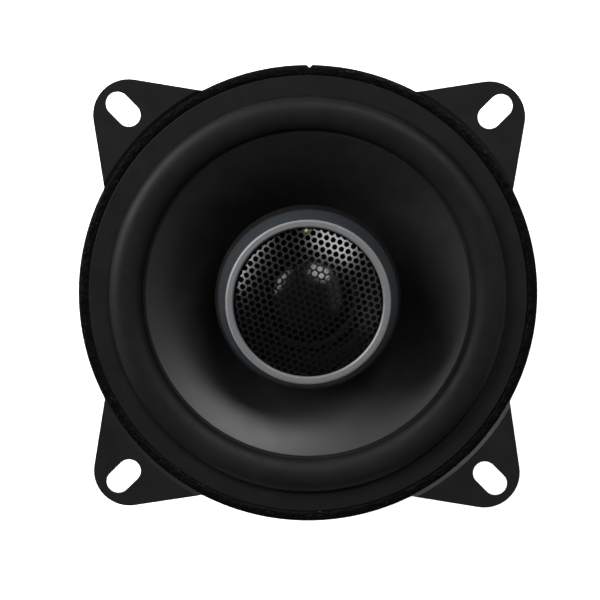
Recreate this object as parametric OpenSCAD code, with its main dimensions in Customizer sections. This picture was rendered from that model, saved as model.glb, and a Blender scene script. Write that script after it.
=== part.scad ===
// Coaxial car speaker: a woofer in a pressed steel basket, with a tweeter pod on a post through its pole.
// +Z is the speaker's axis, towards its front, and Z = 0 is the rear face of the mounting rim.
// The four slotted ears lie along X and Y. The terminal side is halfway between -X and -Y.

/* [Mounting ears] */
// Side of the square that the four mounting slots lie on
slot_square = 83; // [82:0.5:84.5]
// Length of a mounting slot, end to end
slot_len = 8.8; // [7:0.2:9.4]
// Width of a mounting slot
slot_w = 5.3; // [4.5:0.1:5.7]
// Distance from the axis to the tip of an ear
ear_reach = 64.9; // [64.5:0.1:66]
// Radius of an ear's rounded tip
ear_tip_r = 8; // [7:0.5:9]
// Angle between an ear's edge and its centre line
ear_taper = 36; // [34:1:38]
// Height of the ears above the rim
ear_step = 0.8; // [0.4:0.1:0.9]

/* [Basket] */
// Thickness of the basket's steel sheet
sheet_t = 0.9; // [0.8:0.1:1]
// Outer radius of the round rim
rim_r = 51.6; // [51:0.1:51.8]
// Outer radius of the drum that enters the mounting hole
drum_r = 45.7; // [45.4:0.1:45.9]
// Length of the drum behind the rim
drum_len = 5; // [4.6:0.1:5.2]

/* [Cone and surround] */
// Outer radius of the cone
cone_r = 36.5; // [36.2:0.1:36.7]
// Slope of the cone at its edge, in degrees
cone_edge_slope = 20; // [18:1:22]
// Radius of the cone's curved profile
cone_curve_r = 66.6; // [65:0.1:68]
// Thickness of the cone
cone_t = 0.5; // [0.4:0.05:0.6]
// Radius of the surround's half roll
roll_r = 3.9; // [3.7:0.1:4]
// Thickness of the surround's rubber
rubber_t = 0.5; // [0.4:0.05:0.6]

/* [Motor] */
// Radius of the ferrite magnet
magnet_r = 35; // [33:0.5:35]
// Thickness of the ferrite magnet
magnet_t = 12; // [11:0.5:12]
// Radius of the top plate and of the yoke's plate
plate_r = 31; // [29:0.5:31.5]
// Radius of the pole
pole_r = 12.25; // [12.1:0.05:12.3]
// Length of the winding
winding_len = 9; // [7:0.5:10]

/* [Tweeter pod] */
// Height of the pod's front ring above the rim's rear face
pod_front_z = 15.45; // [15:0.05:16]
// Outer radius of the front ring
pod_front_r = 18.2; // [18:0.1:18.4]
// Outer radius of the housing's lip
pod_lip_r = 20.75; // [20.5:0.05:21]
// Radius of the mesh's dome
mesh_curve_r = 37; // [34:1:45]
// Height of the tweeter's dome
dome_h = 3.2; // [2.6:0.1:3.6]

/* [Terminals] */
// Width of the positive blade
blade_pos_w = 6.3; // [4.8:0.1:6.3]
// Width of the negative blade
blade_neg_w = 4.8; // [2.8:0.1:4.8]
// Free length of each blade below the board
blade_free = 8; // [6:0.5:9]

/* [Hidden] */

round_fn = 180;
small_fn = 48;
skin = 0.02;        // clearance between glued or pressed neighbours
slot_r = slot_w / 2;
slot_centre = slot_square / sqrt(2);

// Basket levels
drum_in = drum_r - sheet_t;
wall_drop = sheet_t * sqrt(2);                    // height of the 45 degree wall's section
wall_line = drum_r + drum_len;                    // outer wall: z = r - wall_line
shelf_z = -17;
pot_r = 28.5;
pot_in = pot_r - sheet_t;
floor_z = -22.1;
floor_hole_r = 14.2;
rivet_circle_r = 21.5;
rivet_r = 1.5;
window_in = 34.9;
window_out = 43.3;
window_half_angle = 25;
notch_w = 1.3;
notch_depth = 0.6;

// Surround and cone
flange_z = sheet_t + rubber_t;                    // front face of the surround's flanges
roll_mid_r = drum_in - roll_r;
glue_in = 48.8;
glue_out = rim_r - 0.5;
cone_top_z = flange_z + cone_t;
cone_centre = [cone_r + cone_curve_r * sin(cone_edge_slope),
               cone_top_z - cone_curve_r * cos(cone_edge_slope)];
function cone_z(r) = cone_centre[1] + sqrt(pow(cone_curve_r, 2) - pow(cone_centre[0] - r, 2));
function cone_back_z(r) =
    cone_centre[1] + sqrt(pow(cone_curve_r - cone_t, 2) - pow(cone_centre[0] - r, 2));

// Voice coil and motor
former_in = pole_r + 0.45;
former_t = 0.25;
former_out = former_in + former_t;
neck_r = former_out + 0.05;
former_top_z = cone_z(neck_r) + 1.2;
winding_out = former_out + 0.45;
gap_out = winding_out + 0.45;
top_plate_t = 4;
plate_z = floor_z - sheet_t;                      // front face of the top plate
winding_mid_z = plate_z - top_plate_t / 2;
former_bottom_z = winding_mid_z - winding_len / 2 - 0.5;
magnet_z = plate_z - top_plate_t;                 // front face of the magnet
magnet_in = 18;
yoke_z = magnet_z - magnet_t;                     // front face of the yoke's plate
yoke_t = 5;
back_z = yoke_z - yoke_t;
pole_top_z = -22;
pole_chamfer = 0.5;
recess_r = 7.5;
recess_z = back_z + 4.4;
groove_w = 3.6;
groove_depth = 1.7;

// Spider
spider_in = former_out + 0.06;
spider_flange_in = 27.4;
spider_out = 32.2;
spider_t = 0.4;
spider_waves = 5;
spider_wave_h = 0.75;
spider_z = shelf_z + spider_t / 2;
spider_steps = 50;

// Post, washer and nut
shank_r = 4.6;
shoulder_r = 7.5;
post_bore_r = 2.2;
pod_bottom_z = -4;
washer_t = 0.5;
nut_t = 2.2;
nut_flats = 11;
post_end_z = recess_z - washer_t - nut_t - 0.1;

// Terminal side, in a frame whose X points out from the axis
terminal_angle = 225;
tab_x = 39.6;
tab_w = 16;
tab_bottom_z = -20;
board_x = tab_x + sheet_t;
board_t = 1.6;
board_w = 20;
board_top_z = -11.5;
board_bottom_z = -24;
blade_t = 0.8;
blade_y = 4.9;
eyelet_z = -22;
board_rivet_z = -16;
board_rivet_y = 0;
eyelet_r = 0.9;
eyelet_head_r = 1.4;
eyelet_head_t = 0.5;
solder_tab_z = -14;
cap_pos = [39.8, 13.2];
cap_r = 2.6;
cap_z = [-25, -14];
lead_r = 0.5;
cap_lead_r = 0.3;
tinsel_r = 0.6;
tinsel_hole = [36.3, 4.5];
tinsel_hole_r = 1.5;

// Tweeter pod levels
pod_ledge_z = 5.9;
pod_floor_z = -2.4;
pod_floor_r = 15.2;
pod_step_z = 9.6;
pod_lip_z = [5.2, 6.3];
pod_rim_z = pod_front_z - 1.15;                   // the mesh's flange rests on the housing here
pod_bore_r = 16.5;
spigot_r = 17.5;
cavity_r = 12.1;
lead_slot_r = 14;
lead_slot_w = 5;
mesh_t = 0.45;
mesh_flange_in = 15.9;
cup_in = 10.35;
cup_out = 11.75;
cup_bottom_z = -0.9;
cup_floor_t = 1.8;
tweeter_magnet_r = 8.4;
tweeter_magnet_t = 3;
tweeter_plate_r = 9.2;
tweeter_plate_t = cup_bottom_z * -1 + pod_ledge_z - cup_floor_t - tweeter_magnet_t;
tweeter_coil_in = 9.62;
tweeter_coil_t = 0.28;
tweeter_former_t = 0.1;
tweeter_former_low_z = 3.7;
face_t = 0.8;
face_z = pod_ledge_z + face_t;
dome_r = 9.8;
dome_t = 0.2;
dome_base_z = face_z + 0.2;
tweeter_roll_r = 1.02;
tweeter_roll_mid = dome_r + 0.1 + tweeter_roll_r;
tweeter_film_t = 0.15;

// Small helpers

module revolve() {
    rotate_extrude($fn = round_fn) children();
}

module ring(r_out, r_in, z_low, z_high) {
    revolve()
        translate([r_in, z_low])
            square([r_out - r_in, z_high - z_low]);
}

module disc(r, z_low, z_high) {
    translate([0, 0, z_low])
        cylinder(r = r, h = z_high - z_low, $fn = round_fn);
}

module rod(r, z_low, z_high) {
    translate([0, 0, z_low])
        cylinder(r = r, h = z_high - z_low, $fn = small_fn);
}

module round_the_axis(count, first = 0) {
    for (i = [0 : count - 1])
        rotate([0, 0, first + i * 360 / count]) children();
}

module at_terminal_side() {
    rotate([0, 0, terminal_angle]) children();
}

// The same shape on the +Y side, or mirrored to the -Y side
module on_side(side) {
    if (side < 0) mirror([0, 1, 0]) children();
    else children();
}

// A rod along X in the terminal frame, from x_low to x_high
module cross_rod(r, x_low, x_high, y, z) {
    translate([x_low, y, z])
        rotate([0, 90, 0])
            cylinder(r = r, h = x_high - x_low, $fn = small_fn);
}

// A smooth curve through hand-placed points, and a tube along it
function curve_point(a, b, c, d, t) =
    0.5 * (2 * b + (c - a) * t + (2 * a - 5 * b + 4 * c - d) * pow(t, 2)
        + (3 * b - a - 3 * c + d) * pow(t, 3));

function smooth(points, steps) = [
    for (i = [0 : len(points) - 2], s = [0 : steps - 1])
        curve_point(points[max(i - 1, 0)], points[i], points[i + 1],
            points[min(i + 2, len(points) - 1)], s / steps),
    points[len(points) - 1]
];

function unit(v) = v / norm(v);

// across is a direction that the curve never follows
module tube(points, r, across = [0, 1, 0], sides = 8) {
    last = len(points) - 1;
    rings = [
        for (i = [0 : last])
            let (along = unit(points[min(i + 1, last)] - points[max(i - 1, 0)]),
                 side = unit(cross(along, across)),
                 up = cross(side, along))
                for (k = [0 : sides - 1])
                    points[i] + r * (cos(k * 360 / sides) * side + sin(k * 360 / sides) * up)
    ];
    walls = [
        for (i = [0 : last - 1], k = [0 : sides - 1])
            [i * sides + k, i * sides + (k + 1) % sides,
             (i + 1) * sides + (k + 1) % sides, (i + 1) * sides + k]
    ];
    ends = [
        [for (k = [0 : sides - 1]) sides - 1 - k],
        [for (k = [0 : sides - 1]) last * sides + k]
    ];
    polyhedron(points = rings, faces = concat(walls, ends));
}

// Basket

// Concave corner of radius r where an ear's edge meets the rim. Its arc crosses both edges by bite,
// because arcs and lines that only touch leave a gap in the part's surface.
module ear_fillet_2d(r) {
    bite = 0.03;
    rim_in = rim_r - bite;
    edge_in = (ear_reach - ear_tip_r) * sin(ear_taper) + ear_tip_r - bite;
    outward = [sin(ear_taper), cos(ear_taper)];
    inward = [-cos(ear_taper), sin(ear_taper)];
    root = edge_in * outward - sqrt(pow(rim_in, 2) - pow(edge_in, 2)) * inward;
    centre = (edge_in + r) * outward - sqrt(pow(rim_in + r, 2) - pow(edge_in + r, 2)) * inward;
    difference() {
        polygon([root, centre - r * outward, centre, centre * rim_in / (rim_in + r)]);
        translate(centre) circle(r = r, $fn = small_fn);
    }
}

module ear_2d() {
    fillet_r = 2;
    tip_x = ear_reach - ear_tip_r;
    tangent = ear_tip_r * [sin(ear_taper), cos(ear_taper)];
    edge_len = 2 * ear_tip_r;
    foot = [tip_x, 0] + tangent + edge_len * [-cos(ear_taper), sin(ear_taper)];
    translate([tip_x, 0]) circle(r = ear_tip_r, $fn = round_fn);
    polygon([[tip_x, 0] + tangent, foot, [foot[0], -foot[1]], [tip_x, 0] + [tangent[0], -tangent[1]]]);
    ear_fillet_2d(fillet_r);
    mirror([0, 1]) ear_fillet_2d(fillet_r);
}

module ear_slot() {
    half = slot_len / 2 - slot_r;
    for (side = [-1, 1])
        translate([slot_centre + side * half, 0, -1]) cylinder(r = slot_r, h = 4, $fn = small_fn);
    translate([slot_centre - half, -slot_r, -1]) cube([2 * half, slot_w, 4]);
}

module basket_shell() {
    revolve()
        polygon([
            [rim_r, 0], [rim_r, sheet_t], [drum_in, sheet_t],
            [drum_in, drum_in - wall_line + wall_drop],
            [shelf_z + wall_line - wall_drop, shelf_z], [pot_in, shelf_z], [pot_in, floor_z],
            [floor_hole_r, floor_z], [floor_hole_r, plate_z], [pot_r, plate_z],
            [pot_r, shelf_z - sheet_t], [shelf_z - sheet_t + wall_line, shelf_z - sheet_t],
            [drum_r, -drum_len], [drum_r, 0]
        ]);
}

module ears() {
    bend = 1;
    intersection() {
        linear_extrude(ear_step + sheet_t) round_the_axis(4) ear_2d();
        revolve()
            polygon([
                [glue_in, 0], [rim_r - 0.1, 0], [rim_r - 0.1 + bend, ear_step],
                [ear_reach + 1, ear_step], [ear_reach + 1, ear_step + sheet_t],
                [rim_r - 0.4 + bend, ear_step + sheet_t], [rim_r - 0.4, sheet_t], [glue_in, sheet_t]
            ]);
    }
}

// A kidney-shaped window, whose ends bulge beyond its half angle
module window_2d() {
    mid = (window_in + window_out) / 2;
    end_r = 0.65 * (window_out - window_in);
    far = 2 * window_out;
    intersection() {
        difference() {
            circle(r = window_out, $fn = round_fn);
            circle(r = window_in, $fn = round_fn);
        }
        union() {
            polygon([
                [0, 0], far * [cos(window_half_angle), sin(window_half_angle)],
                far * [cos(window_half_angle), -sin(window_half_angle)]
            ]);
            for (side = [-1, 1])
                rotate(side * window_half_angle)
                    translate([mid, 0]) circle(r = end_r, $fn = small_fn);
        }
    }
}

module basket() {
    window_low_z = -18.5;
    color("#2a2b2d")
    difference() {
        union() {
            basket_shell();
            ears();
            at_terminal_side()
                translate([tab_x, -tab_w / 2, tab_bottom_z])
                    cube([sheet_t, tab_w, tab_x - wall_line + wall_drop / 2 - tab_bottom_z]);
        }
        round_the_axis(4) ear_slot();
        round_the_axis(4)
            translate([0, 0, window_low_z]) linear_extrude(-window_low_z - 1) window_2d();
        round_the_axis(4, 45) translate([rivet_circle_r, 0, 0]) rod(rivet_r, plate_z - 1, floor_z + 1);
        at_terminal_side() {
            for (side = [-1, 1])
                translate([tinsel_hole[0], side * tinsel_hole[1], 0]) rod(tinsel_hole_r, -18, -8);
            cross_rod(eyelet_r + skin, tab_x - 1, board_x + 1, board_rivet_y, board_rivet_z);
        }
        rotate([0, 0, 45])
            translate([rim_r, 0, -1])
                linear_extrude(3)
                    polygon([[-notch_depth, 0], [1, notch_w * 1.3], [1, -notch_w * 1.3]]);
    }
}

module rim_glue_bead() {
    bead_r = (glue_out - glue_in) / 2;
    color("#0b0b0c")
    revolve()
        translate([glue_in + bead_r, sheet_t])
            intersection() {
                circle(r = bead_r, $fn = small_fn);
                translate([-bead_r, 0]) square([2 * bead_r, bead_r]);
            }
}

module basket_rivets() {
    head_r = 2.6;
    head_t = 0.8;
    tail = 2;
    color("#55585a")
    round_the_axis(4, 45)
        translate([rivet_circle_r, 0, 0]) {
            rod(rivet_r - skin, plate_z - tail, floor_z);
            rod(head_r, floor_z, floor_z + head_t);
        }
}

// Cone and its suspension

module surround() {
    inner_flange_r = 34.6;
    roll_in = roll_mid_r - roll_r;
    color("#1a1b1c")
    revolve() {
        translate([drum_in - rubber_t, sheet_t])
            square([glue_in - skin - drum_in + rubber_t, rubber_t]);
        polygon([
            [roll_in + rubber_t, sheet_t], [roll_in, flange_z], [cone_r, cone_back_z(cone_r) - skin],
            [inner_flange_r, cone_back_z(inner_flange_r) - skin],
            [inner_flange_r, cone_back_z(inner_flange_r) - rubber_t],
            [cone_r, cone_back_z(cone_r) - rubber_t], [roll_in, sheet_t - skin]
        ]);
        translate([roll_mid_r, sheet_t])
            intersection() {
                difference() {
                    circle(r = roll_r, $fn = round_fn);
                    circle(r = roll_r - rubber_t, $fn = round_fn);
                }
                translate([-roll_r, 0]) square([2 * roll_r, roll_r]);
            }
    }
}

// The spider's mid-line, which swells to full wave height between its glued ends
function spider_mid(r) =
    let (u = (r - spider_in) / (spider_flange_in - spider_in))
        spider_z + spider_wave_h * sin(180 * u) * sin(360 * spider_waves * u);

module spider() {
    radii = [for (i = [0 : spider_steps])
        spider_in + (spider_flange_in - spider_in) * i / spider_steps];
    color("#a58a4e")
    revolve()
        polygon(concat(
            [for (r = radii) [r, spider_mid(r) + spider_t / 2]],
            [[spider_out, spider_z + spider_t / 2], [spider_out, spider_z - spider_t / 2]],
            [for (i = [spider_steps : -1 : 0]) [radii[i], spider_mid(radii[i]) - spider_t / 2]]
        ));
}

module cone() {
    color("#2e2f31")
    revolve()
        intersection() {
            translate(cone_centre)
                difference() {
                    circle(r = cone_curve_r, $fn = 2 * round_fn);
                    circle(r = cone_curve_r - cone_t, $fn = 2 * round_fn);
                }
            translate([neck_r, cone_z(neck_r) - 2])
                square([cone_r - neck_r, cone_top_z - cone_z(neck_r) + 2]);
        }
}

module neck_glue() {
    glue_w = 1.3;
    color("#6b5a2a")
    revolve()
        polygon([
            [former_out + skin, cone_back_z(neck_r) - 0.1],
            [former_out + skin, cone_back_z(neck_r) - 1.6],
            [neck_r + glue_w, cone_back_z(neck_r + glue_w) - 0.1]
        ]);
}

module voice_coil_former() {
    color("#b9a06a") ring(former_out, former_in, former_bottom_z, former_top_z);
}

module voice_coil() {
    color("#b4622d")
    ring(winding_out, former_out + skin, winding_mid_z - winding_len / 2, winding_mid_z + winding_len / 2);
}

// Motor

module top_plate() {
    color("#8e9295")
    difference() {
        ring(plate_r, gap_out, magnet_z, plate_z);
        round_the_axis(4, 45) translate([rivet_circle_r, 0, 0]) rod(rivet_r, plate_z - 2, plate_z + 1);
    }
}

module magnet() {
    edge = 0.8;
    color("#3a3b3d")
    revolve()
        polygon([
            [magnet_in, magnet_z], [magnet_r - edge, magnet_z], [magnet_r, magnet_z - edge],
            [magnet_r, yoke_z + edge], [magnet_r - edge, yoke_z], [magnet_in, yoke_z]
        ]);
}

module yoke() {
    edge = 0.6;
    color("#8e9295")
    difference() {
        revolve()
            polygon([
                [0, back_z], [plate_r - edge, back_z], [plate_r, back_z + edge], [plate_r, yoke_z],
                [pole_r, yoke_z], [pole_r, pole_top_z - pole_chamfer],
                [pole_r - pole_chamfer, pole_top_z], [0, pole_top_z]
            ]);
        rod(shank_r + skin, back_z - 1, pole_top_z + 1);
        rod(recess_r, back_z - 1, recess_z);
        at_terminal_side()
            translate([0, -groove_w / 2, back_z - 1]) cube([plate_r + 1, groove_w, groove_depth + 1]);
    }
}

module tweeter_post() {
    color("#1d1e20")
    difference() {
        union() {
            rod(shank_r, post_end_z, pole_top_z);
            rod(shoulder_r, pole_top_z, pod_bottom_z);
        }
        rod(post_bore_r, post_end_z - 1, pod_bottom_z + 1);
    }
}

module post_washer() {
    color("#b9bcbe")
    difference() {
        rod(recess_r - 0.3, recess_z - washer_t, recess_z);
        rod(shank_r + skin, recess_z - 1, recess_z + 1);
    }
}

module post_nut() {
    nut_z = recess_z - washer_t - nut_t;
    color("#b9bcbe")
    difference() {
        translate([0, 0, nut_z]) cylinder(d = nut_flats / cos(30), h = nut_t, $fn = 6);
        rod(shank_r + skin, nut_z - 1, nut_z + nut_t + 1);
    }
}

// Terminal side

module terminal_board() {
    corner = 2;
    color("#7a4a24")
    at_terminal_side()
        difference() {
            translate([board_x, -board_w / 2, board_bottom_z])
                cube([board_t, board_w, board_top_z - board_bottom_z]);
            for (side = [-1, 1])
                cross_rod(eyelet_r + skin, board_x - 1, board_x + board_t + 1, side * blade_y, eyelet_z);
            cross_rod(eyelet_r + skin, board_x - 1, board_x + board_t + 1, board_rivet_y, board_rivet_z);
            for (side = [-1, 1], z = [board_bottom_z, board_top_z])
                translate([board_x - 1, side * board_w / 2, z])
                    rotate([45, 0, 0])
                        translate([0, -corner / 2, -corner / 2]) cube([board_t + 2, corner, corner]);
        }
}

module board_rivets() {
    color("#b9bcbe")
    at_terminal_side() {
        cross_rod(eyelet_r, tab_x, board_x + board_t, board_rivet_y, board_rivet_z);
        cross_rod(eyelet_head_r, tab_x - eyelet_head_t, tab_x, board_rivet_y, board_rivet_z);
        cross_rod(eyelet_head_r, board_x + board_t, board_x + board_t + eyelet_head_t,
            board_rivet_y, board_rivet_z);
    }
}

// A blade on the board's outer face, from its solder tab to its free end
module blade(width, y) {
    face_x = board_x + board_t;
    low_z = board_bottom_z - blade_free;
    point = 1;
    hole_r = 0.7;
    at_terminal_side()
        translate([face_x, y, 0])
            difference() {
                rotate([90, 0, 90])
                    linear_extrude(blade_t)
                        polygon([
                            [-width / 2, solder_tab_z], [-width / 2, low_z + point],
                            [-width / 2 + point, low_z], [width / 2 - point, low_z],
                            [width / 2, low_z + point], [width / 2, solder_tab_z]
                        ]);
                cross_rod(eyelet_r + skin, -1, blade_t + 1, 0, eyelet_z);
                cross_rod(hole_r, -1, blade_t + 1, 0, low_z + 3);
            }
}

module terminal_positive() {
    color("#c8b273") blade(blade_pos_w, blade_y);
}

module terminal_negative() {
    color("#c8b273") blade(blade_neg_w, -blade_y);
}

module terminal_eyelets() {
    outer_x = board_x + board_t + blade_t;
    color("#b9bcbe")
    at_terminal_side()
        for (side = [-1, 1]) {
            cross_rod(eyelet_r, board_x, outer_x, side * blade_y, eyelet_z);
            cross_rod(eyelet_head_r, board_x - eyelet_head_t, board_x, side * blade_y, eyelet_z);
            cross_rod(eyelet_head_r, outer_x, outer_x + eyelet_head_t, side * blade_y, eyelet_z);
        }
}

module crossover_capacitor() {
    color("#23406b")
    at_terminal_side() translate(cap_pos) rod(cap_r, cap_z[0], cap_z[1]);
}

module capacitor_adhesive() {
    adhesive_z = -21;
    adhesive_h = 5;
    adhesive_y = board_w / 2 + skin;
    color("#d8cfae")
    at_terminal_side()
        difference() {
            translate([board_x, adhesive_y, adhesive_z])
                cube([board_t, cap_pos[1] - adhesive_y, adhesive_h]);
            translate(cap_pos) rod(cap_r + skin, adhesive_z - 1, adhesive_z + adhesive_h + 1);
        }
}

// Wire routes, in the terminal frame
cap_top_lead = [
    [39.8, 13.2, -13.9], [39.9, 13.1, -13.2], [40.6, 12.4, -12.5], [42, 11, -12.2],
    [43, 9, -12.6], [43.5, 7.4, -13.4], [43.4, 6.2, -14.6], [43.25, 5.6, -15.8]
];
tinsel_route = [
    [39.9, 4.5, -22], [38.6, 4.5, -21.8], [37.2, 4.5, -20.2], [36.4, 4.5, -17.4],
    [36.2, 4.5, -14], [35.6, 4.4, -10.4], [33.4, 4.2, -7.6], [29.6, 3.8, -7.2],
    [26, 3.4, -8.6], [23.6, 3.2, -9], [22.3, 3, -8], [22, 3, -6.9]
];
lead_in_pod = [
    [13, 1.5, 5.8], [13.05, 1.5, 3.5], [13.05, 1.5, 1.2], [12.8, 1.45, -0.6], [11.7, 1.4, -1.6],
    [8, 1.2, -1.6], [4.5, 0.95, -1.6], [2.6, 0.85, -1.75], [1.1, 0.8, -2.9], [0.4, 0.8, -5]
];
lead_in_post = [
    [0.1, 0.8, -12], [0, 0.8, -24], [0, 0.8, -38], [0.15, 0.8, -40.8], [0.7, 0.8, -42.3],
    [2.2, 0.8, -43.25], [6, 0.85, -43.35], [16, 0.9, -43.35], [27, 0.9, -43.35]
];
red_lead_outside = [
    [31.5, 1, -43.3], [34, 1.5, -42.4], [35.9, 2.5, -40.4], [36.8, 4, -36.5], [37.6, 7, -32],
    [38.8, 10.6, -28.4], [39.6, 12.8, -26.6], [39.8, 13.2, -25.1]
];
black_lead_outside = [
    [31.5, 1, -43.3], [34, 1.4, -42.4], [35.9, 2.2, -40.4], [36.8, 3.6, -36.5], [37.4, 5.2, -31],
    [38.2, 6.6, -26.6], [39.2, 7.3, -24], [39.9, 7.4, -22.6]
];
route_steps = 2;

module capacitor_lead() {
    color("#c9ccce")
    at_terminal_side() tube(smooth(cap_top_lead, route_steps), cap_lead_r, [1, 0, 0]);
}

module tinsel_lead(side) {
    color("#b07a3c")
    at_terminal_side() on_side(side) tube(smooth(tinsel_route, route_steps), tinsel_r);
}

module tinsel_lead_positive() {
    tinsel_lead(1);
}

module tinsel_lead_negative() {
    tinsel_lead(-1);
}

module tweeter_lead_red() {
    color("#a5262b")
    at_terminal_side()
        tube(smooth(concat(lead_in_pod, lead_in_post, red_lead_outside), route_steps), lead_r);
}

module tweeter_lead_black() {
    color("#151515")
    at_terminal_side()
        on_side(-1)
            tube(smooth(concat(lead_in_pod, lead_in_post, black_lead_outside), route_steps), lead_r);
}

// Tweeter pod

module pod_housing() {
    bore_chamfer = 0.6;
    slot_floor_z = pod_floor_z + 0.2;
    color("#161718")
    difference() {
        revolve()
            polygon([
                [spigot_r, pod_rim_z], [spigot_r, pod_step_z], [pod_lip_r - 0.75, pod_step_z],
                [pod_lip_r, pod_lip_z[1]], [pod_lip_r, pod_lip_z[0]], [pod_floor_r, pod_floor_z - 0.2],
                [shoulder_r + 0.7, pod_bottom_z], [post_bore_r, pod_bottom_z],
                [post_bore_r, pod_floor_z - bore_chamfer], [post_bore_r + bore_chamfer, pod_floor_z],
                [cavity_r, pod_floor_z], [cavity_r, pod_ledge_z],
                [pod_bore_r, pod_ledge_z], [pod_bore_r, pod_rim_z]
            ]);
        at_terminal_side()
            translate([cavity_r - 1, -lead_slot_w / 2, slot_floor_z])
                cube([lead_slot_r - cavity_r + 1, lead_slot_w, pod_ledge_z + 1 - slot_floor_z]);
    }
}

module bezel_ring() {
    flare_r = pod_lip_r - 0.78;
    chamfer = 0.35;
    mesh_seat_z = pod_rim_z + mesh_t + skin;
    color("#8f959b")
    revolve()
        polygon([
            [spigot_r + skin, pod_step_z + skin], [flare_r, pod_step_z + skin],
            [(flare_r + pod_front_r) / 2 - 0.15, (pod_step_z + pod_front_z) / 2],
            [pod_front_r, pod_front_z - chamfer], [pod_front_r - chamfer, pod_front_z],
            [pod_bore_r + chamfer, pod_front_z], [pod_bore_r, pod_front_z - chamfer],
            [pod_bore_r, mesh_seat_z], [spigot_r + skin, mesh_seat_z]
        ]);
}

module mesh_grille() {
    edge_r = pod_bore_r - 0.2;
    centre_z = pod_rim_z - sqrt(pow(mesh_curve_r, 2) - pow(edge_r, 2));
    color("#2b2c2e")
    revolve() {
        intersection() {
            translate([0, centre_z])
                difference() {
                    circle(r = mesh_curve_r + mesh_t, $fn = 2 * round_fn);
                    circle(r = mesh_curve_r, $fn = 2 * round_fn);
                }
            translate([0, pod_rim_z]) square([edge_r, mesh_curve_r]);
        }
        translate([mesh_flange_in, pod_rim_z]) square([spigot_r - skin - mesh_flange_in, mesh_t]);
    }
}

module tweeter_faceplate() {
    seat_r = 13.2;
    horn_out = 15.6;
    horn_top_z = 10.4;
    color("#202123")
    revolve()
        polygon([
            [cup_in + 0.1, pod_ledge_z + skin], [pod_bore_r - 0.1, pod_ledge_z + skin],
            [pod_bore_r - 0.1, horn_top_z], [horn_out, horn_top_z], [seat_r, face_z + 0.5],
            [seat_r, face_z], [cup_in + 0.1, face_z]
        ]);
}

module tweeter_suspension() {
    seat_r = 13.1;
    color("#3b3c3e")
    revolve() {
        translate([tweeter_roll_mid + tweeter_roll_r - tweeter_film_t, dome_base_z])
            square([seat_r - tweeter_roll_mid - tweeter_roll_r + tweeter_film_t, tweeter_film_t]);
        translate([tweeter_roll_mid, dome_base_z])
            intersection() {
                difference() {
                    circle(r = tweeter_roll_r, $fn = small_fn);
                    circle(r = tweeter_roll_r - tweeter_film_t, $fn = small_fn);
                }
                translate([-tweeter_roll_r, 0]) square(2 * tweeter_roll_r);
            }
    }
}

module tweeter_dome() {
    curve_r = (pow(dome_r, 2) + pow(dome_h, 2)) / (2 * dome_h);
    color("#47494c")
    revolve()
        intersection() {
            translate([0, dome_base_z + dome_h - curve_r])
                difference() {
                    circle(r = curve_r, $fn = 2 * round_fn);
                    circle(r = curve_r - dome_t, $fn = 2 * round_fn);
                }
            translate([0, dome_base_z]) square([dome_r, dome_h + 1]);
        }
}

module tweeter_coil_former() {
    color("#b9a06a")
    ring(tweeter_coil_in + tweeter_former_t, tweeter_coil_in, tweeter_former_low_z, dome_base_z);
}

module tweeter_coil() {
    coil_r = tweeter_coil_in + tweeter_former_t + skin;
    color("#b4622d")
    ring(coil_r + tweeter_coil_t, coil_r, pod_ledge_z - tweeter_plate_t, pod_ledge_z);
}

module tweeter_yoke_cup() {
    color("#9b9ea0")
    difference() {
        disc(cup_out, cup_bottom_z, pod_ledge_z);
        disc(cup_in, cup_bottom_z + cup_floor_t, pod_ledge_z + 1);
    }
}

module tweeter_magnet() {
    magnet_low_z = cup_bottom_z + cup_floor_t;
    color("#c2c5c7") disc(tweeter_magnet_r, magnet_low_z, magnet_low_z + tweeter_magnet_t);
}

module tweeter_top_plate() {
    color("#9b9ea0") disc(tweeter_plate_r, pod_ledge_z - tweeter_plate_t, pod_ledge_z);
}

basket();
rim_glue_bead();
basket_rivets();
surround();
spider();
cone();
neck_glue();
voice_coil_former();
voice_coil();
top_plate();
magnet();
yoke();
tweeter_post();
post_washer();
post_nut();
terminal_board();
board_rivets();
terminal_positive();
terminal_negative();
terminal_eyelets();
crossover_capacitor();
capacitor_adhesive();
capacitor_lead();
tinsel_lead_positive();
tinsel_lead_negative();
pod_housing();
bezel_ring();
mesh_grille();
tweeter_faceplate();
tweeter_suspension();
tweeter_dome();
tweeter_coil_former();
tweeter_coil();
tweeter_yoke_cup();
tweeter_magnet();
tweeter_top_plate();
tweeter_lead_red();
tweeter_lead_black();
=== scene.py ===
import math
import random

import bmesh
import bpy
from mathutils import Matrix, Vector, noise


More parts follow.
